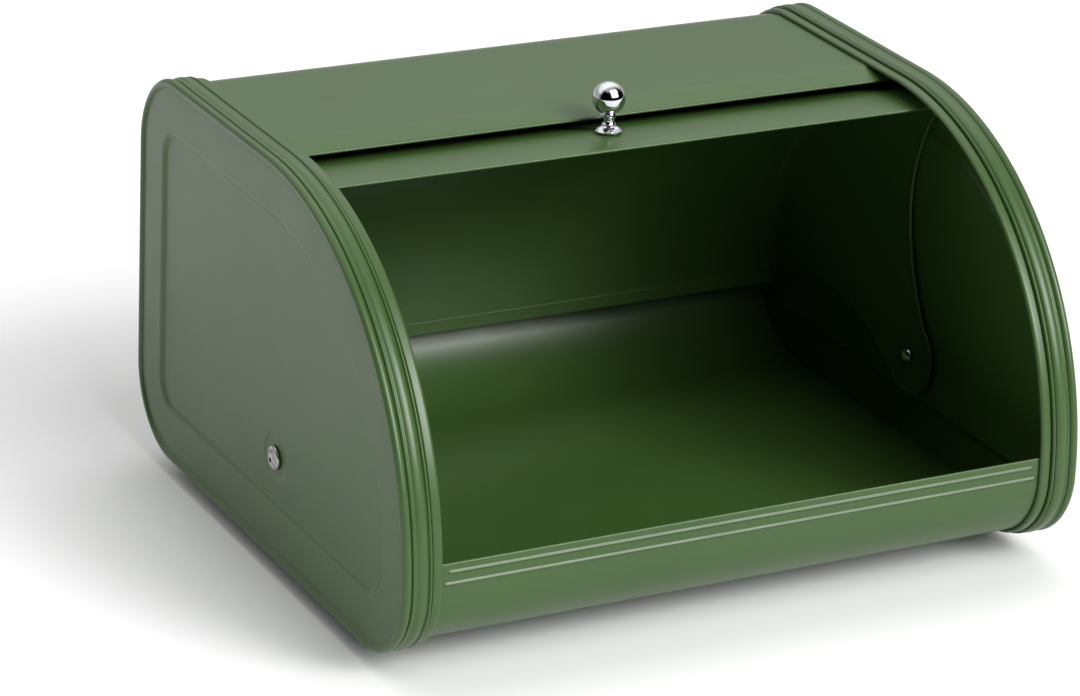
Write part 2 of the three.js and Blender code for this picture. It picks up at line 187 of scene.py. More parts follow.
def outline(inset):
    """The end panel's D outline in (y, z), moved inwards, with points along its straight sides too."""
    points = []
    for (centre, radius, start, count), between in zip(ARCS, (0, *STRAIGHT_STEPS)):
        arc = [polar(radius - inset, a, centre) for a in steps(start * QUARTER, (start - 1) * QUARTER, count)]
        if between:
            points += between_points(points[-1], arc[0], between)
        points += arc
    return points[:-1]


def ellipse(cx, ci, rx, ri, start, end, count):
    """Points of a bead's section as (x, inset), from angle start to end in degrees."""
    angles = steps(math.radians(start), math.radians(end), count)
    return [(cx + rx * math.cos(a), ci - ri * math.sin(a)) for a in angles]


def bezier(a, b, c, count):
    points = []
    for t in steps(0.0, 1.0, count):
        weights = ((1 - t) ** 2, 2 * t * (1 - t), t * t)
        points.append(tuple(sum(w * p[k] for w, p in zip(weights, (a, b, c))) for k in (0, 1)))
    return points


def normals_2d(points, closed=False):
    """Unit normals on the left of a 2-D polyline."""
    count = len(points)
    result = []
    for i in range(count):
        before = points[(i - 1) % count] if closed or i > 0 else points[i]
        after = points[(i + 1) % count] if closed or i < count - 1 else points[i]
        dy, dz = after[0] - before[0], after[1] - before[1]
        length = math.hypot(dy, dz) or 1.0
        result.append((-dz / length, dy / length))
    return result


# ---------------------------------------------------------------- mesh helpers


class Builder:
    """Gathers rings of points into one closed mesh."""

    def __init__(self):
        self.bm = bmesh.new()

    def ring(self, points):
        return [self.bm.verts.new(p) for p in points]

    def face(self, verts):
        unique = list(dict.fromkeys(verts))
        if len(unique) > 2:
            self.bm.faces.new(unique)

    def bridge(self, a, b):
        count = len(a)
        for i in range(count):
            j = (i + 1) % count
            self.face((a[i], a[j], b[j], b[i]))

    def skin(self, rings, closed_along=False):
        for a, b in zip(rings, rings[1:]):
            self.bridge(a, b)
        if closed_along:
            self.bridge(rings[-1], rings[0])

    def fill(self, *loops):
        """Fills a flat region bounded by one loop, with the others as holes."""
        edges = []
        for loop in loops:
            for a, b in zip(loop, loop[1:] + loop[:1]):
                edges.append(self.bm.edges.get((a, b)) or self.bm.edges.new((a, b)))
        bmesh.ops.triangle_fill(self.bm, use_beauty=True, edges=edges)

    def lathe(self, profile, place, sides):
        """Turns a (radius, along) profile; a zero radius closes on one point."""
        rings = []
        for radius, along in profile:
            if radius < 1e-6:
                centre = self.bm.verts.new(place(0.0, 0.0, along))
                rings.append([centre] * sides)
                continue
            angles = [2 * math.pi * k / sides for k in range(sides)]
            ring = [place(radius * math.cos(a), radius * math.sin(a), along) for a in angles]
            rings.append(self.ring(ring))
        self.skin(rings, closed_along=profile[0][0] > 1e-6 and profile[-1][0] > 1e-6)


def make_piece(name, builder, material, body, nodes, flat=False):
    bm = builder.bm
    bmesh.ops.remove_doubles(bm, verts=bm.verts, dist=1e-4)
    bmesh.ops.recalc_face_normals(bm, faces=bm.faces)
    for face in bm.faces:
        face.smooth = not flat
    for edge in bm.edges:
        edge.smooth = edge.calc_face_angle(0.0) < SHARP_ANGLE
    bmesh.ops.scale(bm, vec=(MM, MM, MM), verts=bm.verts)
    mesh = bpy.data.meshes.new(name)
    bm.to_mesh(mesh)
    bm.free()
    mesh.materials.append(material)
    piece = bpy.data.objects.new(name, mesh)
    bpy.context.scene.collection.objects.link(piece)
    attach(piece, body)
    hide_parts(*nodes)


def along_pivot(side):
    """Places a turned point about the pivot axis, with its length along X on that side."""
    return lambda u, v, x: (side * x, PIVOT[0] + u, PIVOT[1] + v)


def along_knob(u, v, r):
    """Places a turned point about the knob's own axis, a radius of the lid."""
    cos_a, sin_a = math.cos(KNOB_ANGLE), math.sin(KNOB_ANGLE)
    return (u, PIVOT[0] + r * cos_a - v * sin_a, PIVOT[1] + r * sin_a + v * cos_a)


def around_knob(radius, angles, r):
    """Points of a circle about the knob's axis."""
    return [along_knob(radius * math.cos(a), radius * math.sin(a), r) for a in angles]


# ---------------------------------------------------------------- materials


class Shader:
    """A Principled material with a few short ways to add nodes."""

    def __init__(self, name):
        self.material = bpy.data.materials.new(name)
        self.material.use_nodes = True
        self.tree = self.material.node_tree
        self.principled = self.tree.nodes["Principled BSDF"]
        self.coordinates = self.node("ShaderNodeTexCoord").outputs["Object"]

    def node(self, kind, **settings):
        made = self.tree.nodes.new(kind)
        for key, value in settings.items():
            setattr(made, key, value)
        return made

    def link(self, source, target):
        self.tree.links.new(source, target)

    def set(self, **values):
        for key, value in values.items():
            self.principled.inputs[key.replace("_", " ")].default_value = value

    def noise(self, scale, detail=3.0, roughness=0.5, vector=None):
        made = self.node("ShaderNodeTexNoise")
        made.inputs["Scale"].default_value = scale
        made.inputs["Detail"].default_value = detail
        made.inputs["Roughness"].default_value = roughness
        self.link(vector or self.coordinates, made.inputs["Vector"])
        return made.outputs["Fac"]

    def ramp(self, factor, *stops):
        made = self.node("ShaderNodeValToRGB")
        elements = made.color_ramp.elements
        while len(elements) < len(stops):
            elements.new(0.5)
        for element, (position, colour) in zip(elements, stops):
            element.position = position
            element.color = (*colour, 1.0)
        self.link(factor, made.inputs["Fac"])
        return made.outputs["Color"]

    def spread(self, factor, low, high, from_low=0.3, from_high=0.7):
        made = self.node("ShaderNodeMapRange")
        values = {"From Min": from_low, "From Max": from_high, "To Min": low, "To Max": high}
        for key, value in values.items():
            made.inputs[key].default_value = value
        self.link(factor, made.inputs["Value"])
        return made.outputs["Result"]

    def maths(self, operation, a, b):
        made = self.node("ShaderNodeMath", operation=operation)
        for socket, value in zip(made.inputs, (a, b)):
            if isinstance(value, (int, float)):
                socket.default_value = value
            else:
                self.link(value, socket)
        return made.outputs["Value"]

    def bump(self, height, strength, distance):
        made = self.node("ShaderNodeBump")
        made.inputs["Strength"].default_value = strength
        made.inputs["Distance"].default_value = distance
        self.link(height, made.inputs["Height"])
        self.link(made.outputs["Normal"], self.principled.inputs["Normal"])

    def colour(self, socket):
        self.link(socket, self.principled.inputs["Base Color"])

    def rough(self, socket):
        self.link(socket, self.principled.inputs["Roughness"])


def powder_coat(name, dark, light):
    """Satin powder coat: faint cloudiness in the colour, and a fine orange-peel surface."""
    shader = Shader(name)
    clouds = shader.noise(14.0, 4.0, 0.6)
    grains = shader.noise(70.0, 2.0)
    broad, fine = shader.maths("MULTIPLY", clouds, 0.8), shader.maths("MULTIPLY", grains, 0.2)
    mixed = shader.maths("ADD", broad, fine)
    shader.colour(shader.ramp(mixed, (0.36, dark), (0.64, light)))
    shader.rough(shader.spread(shader.noise(55.0, 4.0), 0.34, 0.39))
    shader.bump(shader.noise(380.0, 1.0), 0.03, 0.0001)
    shader.set(IOR=1.5)
    return shader.material


def polished_chrome():
    """Bright plating with faint haze and hair-fine polishing marks."""
    shader = Shader("knob_chrome")
    haze = shader.noise(240.0, 3.0)
    shader.colour(shader.ramp(haze, (0.3, (0.60, 0.61, 0.64)), (0.7, (0.72, 0.73, 0.75))))
    shader.rough(shader.spread(shader.noise(900.0, 2.0), 0.05, 0.11))
    stretch = shader.node("ShaderNodeMapping")
    stretch.inputs["Scale"].default_value = (300.0, 300.0, 4000.0)
    shader.link(shader.coordinates, stretch.inputs["Vector"])
    shader.bump(shader.noise(1.0, 3.0, vector=stretch.outputs["Vector"]), 0.04, 0.0001)
    shader.set(Metallic=1.0)
    return shader.material


def turned_steel(name, centre, axis):
    """Lathe-turned steel: fine rings about an axis through a point."""
    shader = Shader(name)
    shift = shader.node("ShaderNodeMapping")
    shift.inputs["Location"].default_value = [-c * MM for c in centre]
    shader.link(shader.coordinates, shift.inputs["Vector"])
    rings = shader.node("ShaderNodeTexWave", wave_type="RINGS", rings_direction=axis)
    rings.inputs["Scale"].default_value = 420.0
    rings.inputs["Distortion"].default_value = 0.6
    shader.link(shift.outputs["Vector"], rings.inputs["Vector"])
    smudge = shader.noise(500.0, 4.0)
    shader.colour(shader.ramp(smudge, (0.3, (0.28, 0.27, 0.26)), (0.7, (0.42, 0.41, 0.40))))
    shader.rough(shader.spread(rings.outputs["Fac"], 0.16, 0.30, 0.0, 1.0))
    shader.bump(rings.outputs["Fac"], 0.15, 0.00005)
    shader.set(Metallic=1.0)
    return shader.material


def natural_nylon():
    shader = Shader("spacer_nylon")
    mottle = shader.noise(700.0, 4.0)
    shader.colour(shader.ramp(mottle, (0.3, (0.62, 0.61, 0.56)), (0.7, (0.74, 0.73, 0.69))))
    shader.rough(shader.spread(mottle, 0.45, 0.62))
    shader.bump(shader.noise(2500.0, 2.0), 0.1, 0.0001)
    return shader.material


def foot_rubber():
    shader = Shader("foot_rubber")
    grain = shader.noise(1800.0, 4.0, 0.65)
    shader.colour(shader.ramp(grain, (0.3, (0.012, 0.012, 0.012)), (0.7, (0.045, 0.045, 0.042))))
    shader.rough(shader.spread(shader.noise(300.0, 3.0), 0.62, 0.88))
    shader.bump(grain, 0.35, 0.0002)
    return shader.material


GREEN_DARK = (0.036, 0.083, 0.017)
GREEN_LIGHT = (0.041, 0.091, 0.019)
GREEN = powder_coat("green_coat", GREEN_DARK, GREEN_LIGHT)
CHROME = polished_chrome()
PIVOT_STEEL = turned_steel("pivot_steel", (0.0, PIVOT[0], PIVOT[1]), "X")
KNOB_STEEL = turned_steel("knob_steel", (0.0, PIVOT[0], PIVOT[1]), "Z")
NYLON = natural_nylon()
RUBBER = foot_rubber()


# ---------------------------------------------------------------- end panels


def sunk(t):
    """How far the step into the sunk middle has gone: a wide soft shoulder, then a tighter foot."""
    return smooth(t) ** SHOULDER_POWER


def rim_section():
    """(x, inset) from the sunk middle out over the beads and back along the inside."""
    middle_x = FACE_X - MIDDLE_SINK
    middle = MIDDLE_START + MIDDLE_SLOPE
    guards = [middle + guard for guard in GUARDS]
    flat_start = MIDDLE_START - FLAT_GUARD
    points = [(middle_x, inset) for inset in guards]
    for t in steps(1.0, 0.0, SHOULDER_STEPS):
        points.append((FACE_X - MIDDLE_SINK * sunk(t), MIDDLE_START + MIDDLE_SLOPE * t))
    points += [(FACE_X, flat_start), (FACE_X, FLAT_INSET)]
    points += [(FACE_X - drop, inset) for drop, inset in RIM_ROLL]
    for bead in RIM_BEADS:
        points += ellipse(*bead)
    points += [(RIM_IN_X - 0.02, 1.7), (RIM_IN_X, 2.3), (RIM_IN_X + 0.15, 2.6)]
    points += [(RIM_IN_X + 0.5, RIM_WALL_INSET)]
    inner_x = FACE_X - SHEET
    points += [(inner_x - 1.0, RIM_WALL_INSET), (inner_x - 0.3, 3.0), (inner_x, 3.7)]
    points += [(inner_x, FLAT_INSET), (inner_x, flat_start)]
    for t in steps(0.0, 1.0, SHOULDER_STEPS):
        points.append((inner_x - MIDDLE_SINK * sunk(t), MIDDLE_START + MIDDLE_SLOPE * t))
    return points + [(inner_x - MIDDLE_SINK, inset) for inset in reversed(guards)]


def seat_profile():
    """(radius, x) from the sunk middle, down into the pivot seat, through the hole and out inside."""
    middle_x = FACE_X - MIDDLE_SINK
    wide = SEAT_R + SEAT_TAPER
    outer = [(wide + guard, middle_x) for guard in GUARDS]
    for t in steps(0.0, 1.0, 8):
        outer.append((wide - SEAT_TAPER * t, middle_x + (SEAT_X - middle_x) * smooth(t)))
    outer += [(SEAT_R - 0.3, SEAT_X), (PANEL_HOLE_R + 0.5, SEAT_X)]
    inner = [(radius, x - SHEET) for radius, x in reversed(outer)]
    return outer + [(PANEL_HOLE_R, SEAT_X), (PANEL_HOLE_R, SEAT_X - SHEET)] + inner


def side_panel(name, side):
    builder = Builder()
    rings = [builder.ring([(side * x, y, z) for y, z in outline(inset)]) for x, inset in rim_section()]
    builder.skin(rings)
    place = along_pivot(side)
    bearings = [math.atan2(z - PIVOT[1], y - PIVOT[0]) for y, z in outline(rim_section()[0][1])]
    seats = []
    for radius, x in seat_profile():
        seats.append(builder.ring([place(radius * math.cos(a), radius * math.sin(a), x) for a in bearings]))
    builder.skin([rings[-1], *reversed(seats), rings[0]])
    make_piece(name, builder, GREEN, "box", [name])


def edge_hoop(name, side):
    section = [(HOOP_OUT_X, RIM_WALL_INSET)]
    section += ellipse(HOOP_OUT_X - 0.7, HOOP_CREST + 0.7, 0.7, 0.62, 0, 90, 6)
    section += ellipse(HOOP_IN_X + 1.5, HOOP_CREST + 1.1, 1.5, 1.1, 90, 180, 8)
    section += [(HOOP_IN_X, RIM_WALL_INSET)]
    builder = Builder()
    rings = [builder.ring([(side * x, y, z) for y, z in outline(inset)]) for x, inset in section]
    builder.skin(rings, closed_along=True)
    make_piece(name, builder, GREEN, "box", [name])


# ---------------------------------------------------------------- body sheet


def lip_point(z):
    """Where the front of the sheet's outer face is at a height, on the front arc or the corner below."""
    centre, radius = FRONT_CENTRE, FRONT_R - BODY_INSET
    if z < centre[1]:
        centre, radius = ARCS[3][0], CORNER_R - BODY_INSET
    return (centre[0] - math.sqrt(radius * radius - (z - centre[1]) ** 2), z)


def body_outer():
    """The sheet's outer face in (y, z), from the strip's edge round the back to the lip's top."""
    top = TOP_Z - BODY_INSET
    direction = (-math.cos(STRIP_DROP), -math.sin(STRIP_DROP))
    tangent = CREASE_R * math.tan(STRIP_DROP / 2)
    bend_end = (CREASE_Y + direction[0] * tangent, top + direction[1] * tangent)
    edge = (CREASE_Y + direction[0] * STRIP_LENGTH, top + direction[1] * STRIP_LENGTH)
    start = (CREASE_Y + tangent, top)
    points = [edge, *between_points(edge, bend_end, 8), bend_end]
    points += bezier(bend_end, (CREASE_Y, top), start, 6)[1:]
    points += [(TOP_MIDDLE_Y, top)]
    for centre, radius, begin, count in ARCS[1:3]:
        if begin == 0:
            points += [(BACK_Y - BODY_INSET, z) for z in BACK_WALL_Z]
        for angle in steps(begin * QUARTER, (begin - 1) * QUARTER, count):
            points.append(polar(radius - BODY_INSET, angle, centre))
    points += [(y, RIM_BOTTOM_Z + BODY_INSET) for y in FLOOR_Y]
    centre, radius, begin, count = ARCS[3]
    foot_end = math.pi + math.asin(FRONT_BEND_DROP / (CORNER_R - BODY_INSET))
    for angle in steps(-QUARTER, foot_end - 2 * math.pi, count):
        points.append(polar(radius - BODY_INSET, angle, centre))
    points += [lip_point(z) for z in steps(LIP_START_Z, LIP_TOP_Z - 0.4, 68)]
    return points


def ridge_rise(y, z, x):
    """How far the lip's two ridges lift the sheet at a point."""
    if y > FRONT_Y + CORNER_R:
        return 0.0
    rise = 0.0
    for height, reach in RIDGES:
        across = 1 - abs(z - height) / RIDGE_HALF
        along = (reach - abs(x)) / RIDGE_FADE
        if across > 0 and along > 0:
            rise += RIDGE_RISE * smooth(across) * smooth(along)
    return rise


def body_stations():
    """Cuts across the sheet, closer together where the ridges end."""
    half = [0.0, 60.0, 110.0, 128.0, 130.5, 131.4, 132.0, 132.5]
    half += [133.0, 133.4, 133.9, 134.3, 134.6, 135.4, BODY_HALF_X]
    return [-x for x in reversed(half[1:])] + half


def round_edge(outer, inward, thickness, count):
    """Half-round end of a folded sheet, from the outer point over to the inner side."""
    (y0, z0), normal, along = outer, inward[0], inward[1]
    half = thickness / 2
    points = []
    for angle in steps(0.0, math.pi, count)[1:-1]:
        shift_n, shift_a = half * (1 - math.cos(angle)), half * math.sin(angle)
        y = y0 + normal[0] * shift_n + along[0] * shift_a
        points.append((y, z0 + normal[1] * shift_n + along[1] * shift_a))
    return points


def ease_bend(y, z):
    """Pulls the sheet's inner face in where the floor turns up into the back, for a wider bend."""
    inset = BODY_INSET + SHEET + INNER_BEND_R
    dy, dz = y - (BACK_Y - inset), z - (RIM_BOTTOM_Z + inset)
    away = math.hypot(dy, dz)
    if dy < 0 or dz > 0 or away < INNER_BEND_R:
        return y, z
    return y - dy * (1 - INNER_BEND_R / away), z - dz * (1 - INNER_BEND_R / away)


def body_loop():
    """Closed cross-section of the sheet, with the strip's and the lip's folded edges."""
    outer = body_outer()
    normals = normals_2d(outer)
    lengths = [0.0]
    for a, b in zip(outer, outer[1:]):
        lengths.append(lengths[-1] + math.hypot(b[0] - a[0], b[1] - a[1]))
    total = lengths[-1]
    inner = []
    for (y, z), (ny, nz), length in zip(outer, normals, lengths):
        near_end = min(length, total - length)
        thickness = SHEET * (1 + smooth((LIP_HEM + 0.25 - near_end) / 0.5))
        inner.append(ease_bend(y - ny * thickness, z - nz * thickness))
    first_along = (outer[0][0] - outer[1][0], outer[0][1] - outer[1][1])
    last_along = (outer[-1][0] - outer[-2][0], outer[-1][1] - outer[-2][1])
    ends = []
    for point, normal, along in ((outer[0], normals[0], first_along), (outer[-1], normals[-1], last_along)):
        size = math.hypot(*along)
        inward = ((-normal[0], -normal[1]), (along[0] / size, along[1] / size))
        ends.append(round_edge(point, inward, 2 * SHEET, 8))
    return outer, ends[1], inner, ends[0]


def body_shell():
    outer, lip_end, inner, strip_end = body_loop()
    normals = normals_2d(outer)
    builder = Builder()
    rings = []
    for x in body_stations():
        raised_outer, raised_inner = [], []
        for (y, z), (iy, iz), (ny, nz) in zip(outer, inner, normals):
            rise = ridge_rise(y, z, x)
            raised_outer.append((x, y + ny * rise, z + nz * rise))
            inside = rise * RIDGE_INSIDE
            raised_inner.append((x, iy + ny * inside, iz + nz * inside))
        loop = raised_outer + [(x, y, z) for y, z in lip_end]
        loop += raised_inner[::-1] + [(x, y, z) for y, z in strip_end[::-1]]
        rings.append(builder.ring(loop))
    builder.skin(rings)
    for ring in (rings[0], rings[-1]):
        count = len(outer)
        face_out, face_in = ring[:count], ring[count + len(lip_end):2 * count + len(lip_end)][::-1]
        for i in range(count - 1):
            builder.face((face_out[i], face_out[i + 1], face_in[i + 1], face_in[i]))
        builder.face((face_out[-1], *ring[count:count + len(lip_end)], face_in[-1]))
        builder.face((face_in[0], *ring[2 * count + len(lip_end):], face_out[0]))
    make_piece("body_shell", builder, GREEN, "box", ["body_shell"])


# ---------------------------------------------------------------- lid


def shell_section():
    """Closed (radius, angle) section of the lid sheet with its folded front and rear edges."""
    fold = 2 * SHEET
    half_angle = SHEET / LID_R
    outer = [(LID_R, a) for a in steps(LID_REAR + half_angle, LID_FRONT - half_angle, 120)]
    front, rear = [], []
    for angle in steps(0.0, math.pi, 8)[1:-1]:
        radius = LID_R - SHEET * (1 - math.cos(angle))
        front.append((radius, LID_FRONT - half_angle + half_angle * math.sin(angle)))
        rear.append((radius, LID_REAR + half_angle - half_angle * math.sin(angle)))
    inner = []
    front_hem, rear_hem = LID_FRONT_HEM / LID_R, LID_REAR_HEM / LID_R
    front_end, rear_end = LID_FRONT - front_hem, LID_REAR + rear_hem
    single, slope = LID_R - SHEET, LID_R - SHEET - 0.1
    # Angles, in radians, over which the inner face steps from the fold to the single sheet.
    touch, ease, clear = 0.001, 0.003, 0.012
    inner += [(LID_R - fold, a) for a in steps(LID_FRONT - half_angle, front_end + touch, 3)]
    inner += [(slope, front_end - touch), (single, front_end - ease)]
    inner += [(single, a) for a in steps(front_end - clear, rear_end + clear, 110)]
    inner += [(single, rear_end + ease), (slope, rear_end + touch)]
    inner += [(LID_R - fold, a) for a in steps(rear_end - touch, LID_REAR + half_angle, 4)]
    return outer + front + inner + rear[::-1]


def lid_shell():
    builder = Builder()
    section = shell_section()
    rings = []
    for x in LID_STATIONS:
        rings.append(builder.ring([(x, *polar(radius, angle, PIVOT)) for radius, angle in section]))
    builder.skin(rings)
    for ring in (rings[0], rings[-1]):
        builder.fill(ring)
    make_piece("lid_shell", builder, GREEN, "lid", ["lid_shell"])


def arm_outline():
    """The arm's closed outline relative to the pivot, anticlockwise."""
    rear_tip, front_tip = polar(LID_R, LID_REAR), polar(LID_R, LID_FRONT)
    rim = [polar(LID_R, a) for a in steps(LID_REAR, LID_FRONT, 100)]
    eye = [polar(ARM_EYE_R, a) for a in steps(*ARM_EYE, 40)]
    front = bezier(front_tip, ARM_FRONT_BOW, eye[0], 50)
    rear = bezier(eye[-1], ARM_REAR_BOW, rear_tip, 50)
    return rim[:-1] + front[:-1] + eye[:-1] + rear[:-1]


def lid_arm(name, side):
    """A flat plate whose edge is rolled into a low rim, with a hole for the pivot."""
    base = arm_outline()
    normals = normals_2d(base, closed=True)
    place = along_pivot(side)
    builder = Builder()

    def loop(inwards, x):
        edge = zip(base, normals)
        return builder.ring([place(y + ny * inwards, z + nz * inwards, x) for (y, z), (ny, nz) in edge])

    outside = ARM_IN_X + ARM_SHEET
    roll_end, plate = ARM_ROLL[-1]
    upper = [loop(inwards, ARM_IN_X + lift) for inwards, lift in ARM_ROLL]
    lower = [loop(inwards, outside) for inwards in (0.0, roll_end)]
    builder.skin(list(reversed(upper)) + lower)
    angles = [2 * math.pi * k / ARM_HOLE_SIDES for k in range(ARM_HOLE_SIDES)]
    face = ARM_IN_X + plate
    bore = ((ARM_BOSS_R, face), (ARM_HOLE_R, face), (ARM_HOLE_R, outside), (ARM_BOSS_R, outside))
    holes = []
    for radius, x in bore:
        holes.append(builder.ring([place(radius * math.cos(a), radius * math.sin(a), x) for a in angles]))
    builder.skin(holes)
    builder.fill(upper[-1], holes[0])
    builder.fill(lower[-1], holes[-1])
    make_piece(name, builder, GREEN, "lid", [name])


def arm_lip(name, side):
    """The narrow lip bent from the arm that lies inside the lid sheet."""
    builder = Builder()
    top = LID_R - SHEET - FIT_GAP
    edge = LID_HALF_X - ARM_LIP
    section = [(edge, top - 0.3), (edge + 0.15, top - 0.05), (edge + 0.5, top), (ARM_IN_X + 0.6, top)]
    section += [(ARM_IN_X + 0.6, top - SHEET), (edge + 0.5, top - SHEET), (edge + 0.15, top - SHEET + 0.05)]
    start = LID_REAR + (LID_REAR_HEM + 2.0) / LID_R
    end = LID_FRONT - (LID_FRONT_HEM + 2.0) / LID_R
    rings = []
    for angle in steps(start, end, 90):
        rings.append(builder.ring([(side * x, *polar(radius, angle, PIVOT)) for x, radius in section]))
    builder.skin(rings)
    builder.face(rings[0])
    builder.face(rings[-1])
    make_piece(name, builder, GREEN, "lid", [])


# ---------------------------------------------------------------- hardware


def turned(name, profile, side, material):
    """A round piece of the box, turned about the pivot's axis."""
    builder = Builder()
    builder.lathe(profile, along_pivot(side), 64)
    make_piece(name, builder, material, "box", [name])


def pivot_screw(name, side):
    """Pan head with a hollow middle, on a plain shank."""
    head_x = SEAT_X + FIT_GAP
    crown_x = head_x + SCREW_CROWN_Z
    end_x = CAP_BASE_X - 0.7
    profile = [(0.0, end_x), (2.2, end_x), (SCREW_SHANK_R, end_x + 0.3), (SCREW_SHANK_R, head_x)]
    profile += [(4.7, head_x), (5.0, head_x + 0.15), (5.1, crown_x)]
    for angle in steps(0.0, 0.9 * QUARTER, 10)[1:]:
        profile.append((SCREW_CROWN_R + 1.4 * math.cos(angle), crown_x + 0.9 * math.sin(angle)))
    profile += [(3.4, head_x + 1.3), (3.1, head_x + 0.9), (2.7, head_x + 0.55)]
    profile += [(1.2, head_x + 0.45), (0.0, head_x + 0.42)]
    turned(name, profile, side, PIVOT_STEEL)


def tube(inner, outer, low, high):
    """Profile of a short tube whose outer edges are chamfered."""
    return [
        (inner, low),
        (outer - CHAMFER, low),
        (outer, low + CHAMFER),
        (outer, high - CHAMFER),
        (outer - CHAMFER, high),
        (inner, high),
    ]


def pivot_cap(name, side):
    """Small bright dome over the inner end of the screw."""
    profile = []
    for angle in steps(QUARTER, 0.0, 12):
        profile.append((CAP_R * math.cos(angle), CAP_BASE_X - CAP_H * math.sin(angle)))
    depth = CAP_BASE_X - 1.0
    profile += [(2.8, CAP_BASE_X), (2.8, depth), (0.0, depth)]
    turned(name, profile, side, CHROME)


def knob_ball():
    """Ball, collar and waisted neck turned in one, with a blind hole for the screw."""
    base = LID_R + 2 * FIT_GAP + ROSETTE_H
    tip = base + KNOB_HOLE_DEPTH
    profile = [(0.0, tip), (KNOB_HOLE_R, tip), (KNOB_HOLE_R, base), (2.75, base)]
    profile += [(2.95, base + 0.25), (2.6, base + 0.7), (2.35, base + 1.4)]
    profile += [(2.4, base + 2.2), (2.7, base + 2.9)]
    collar = BALL_AT - BALL_R - 0.35
    profile += [(3.25, collar - 0.35), (3.5, collar), (3.4, collar + 0.45), (2.95, collar + 0.75)]
    start = math.asin(2.95 / BALL_R) - QUARTER
    for angle in steps(start, QUARTER, 40)[1:]:
        profile.append((BALL_R * math.cos(angle), BALL_AT + BALL_R * math.sin(angle)))
    builder = Builder()
    builder.lathe(profile, along_knob, 72)
    make_piece("knob_ball", builder, CHROME, "lid", ["knob_ball"])


def knob_rosette():
    """Faceted foot of the knob: two rows of cut facets under a plain collar."""
    sides = 12
    base = LID_R + FIT_GAP
    top = base + ROSETTE_H
    # Radius, place along the knob's axis, and turn in facets.
    rows = (
        (5.3, base, 0.0),
        (5.8, base + 0.9, 0.5),
        (4.7, base + 1.8, 0.0),
        (3.4, base + 2.5, 0.5),
        (2.9, top, 0.5),
    )
    builder = Builder()
    rings = []
    for radius, r, turn in rows:
        angles = [2 * math.pi * (k + turn) / sides for k in range(sides)]
        rings.append(builder.ring(around_knob(radius, angles, r)))
    for (a, row_a), (b, row_b) in zip(zip(rings, rows), zip(rings[1:], rows[1:])):
        for i in range(sides):
            j = (i + 1) % sides
            if row_b[2] > row_a[2]:
                builder.face((a[i], a[j], b[i]))
                builder.face((a[j], b[j], b[i]))
            elif row_b[2] < row_a[2]:
                builder.face((a[i], b[j], b[i]))
                builder.face((a[i], a[j], b[j]))
            else:
                builder.face((a[i], a[j], b[j], b[i]))
    bore = []
    for r in (top, base):
        angles = [2 * math.pi * (k + 0.5) / sides for k in range(sides)]
        bore.append(builder.ring(around_knob(KNOB_HOLE_R, angles, r)))
    builder.skin([rings[-1], bore[0], bore[1]])
    builder.fill(bore[1], rings[0])
    make_piece("knob_rosette", builder, CHROME, "lid", ["knob_rosette"], flat=True)


def knob_fixings():
    """Plain pan-head screw, and its washer, inside the lid."""
    top = LID_R - SHEET - 2 * FIT_GAP - WASHER_H
    tip = LID_R + ROSETTE_H + KNOB_HOLE_DEPTH
    builder = Builder()
    profile = [(0.0, top - 1.8)]
    for angle in steps(math.radians(70), 0.0, 7):
        profile.append((3.6 * math.cos(angle), top - 0.4 - 1.4 * math.sin(angle)))
    profile += [(3.5, top - 0.05), (3.4, top), (1.6, top), (1.6, tip - 0.4), (1.2, tip), (0.0, tip)]
    builder.lathe(profile, along_knob, 48)
    make_piece("knob_screw", builder, KNOB_STEEL, "lid", ["knob_screw"])
    builder = Builder()
    builder.lathe(tube(KNOB_HOLE_R, WASHER_R, top + FIT_GAP, top + FIT_GAP + WASHER_H), along_knob, 48)
    make_piece("knob_washer", builder, KNOB_STEEL, "lid", ["knob_washer"])


def rubber_foot(name, centre):
    """Round button with a dished underside."""
    top = RIM_BOTTOM_Z + BODY_INSET - FIT_GAP
    profile = [(0.0, 0.7), (3.4, 0.7), (4.0, 0.45), (4.4, 0.1), (4.8, 0.0), (6.1, 0.0)]
    for angle in steps(-QUARTER, 0.0, 6)[1:]:
        profile.append((6.1 + 1.2 * math.cos(angle), 1.2 + 1.2 * math.sin(angle)))
    profile += [(7.9, top - 0.5), (7.8, top), (0.0, top)]
    builder = Builder()
    builder.lathe(profile, lambda u, v, z: (centre[0] + u, centre[1] + v, z), 56)
    make_piece(name, builder, RUBBER, "box", [name])


def build_object():
    body_shell()
    lid_shell()
    for word, side in (("left", -1), ("right", 1)):
        side_panel(word + "_side_panel", side)
        edge_hoop(word + "_edge_hoop", side)
        lid_arm(word + "_lid_arm", side)
        arm_lip(word + "_arm_lip", side)
        pivot_screw(word + "_pivot_screw", side)
        spacer = tube(PANEL_HOLE_R, SPACER_R, ARM_IN_X + ARM_SHEET + FIT_GAP, SEAT_X - SHEET - FIT_GAP)
        turned(word + "_pivot_spacer", spacer, side, NYLON)
        pivot_cap(word + "_pivot_cap", side)
    knob_ball()
    knob_rosette()
    knob_fixings()
    for name, centre in FOOT_PLACES.items():
        rubber_foot(name, centre)


# ---------------------------------------------------------------- studio

FLOOR_HALF_METRES = 6.0
FLOOR_DARK = (0.86, 0.86, 0.86)
FLOOR_LIGHT = (0.90, 0.90, 0.90)


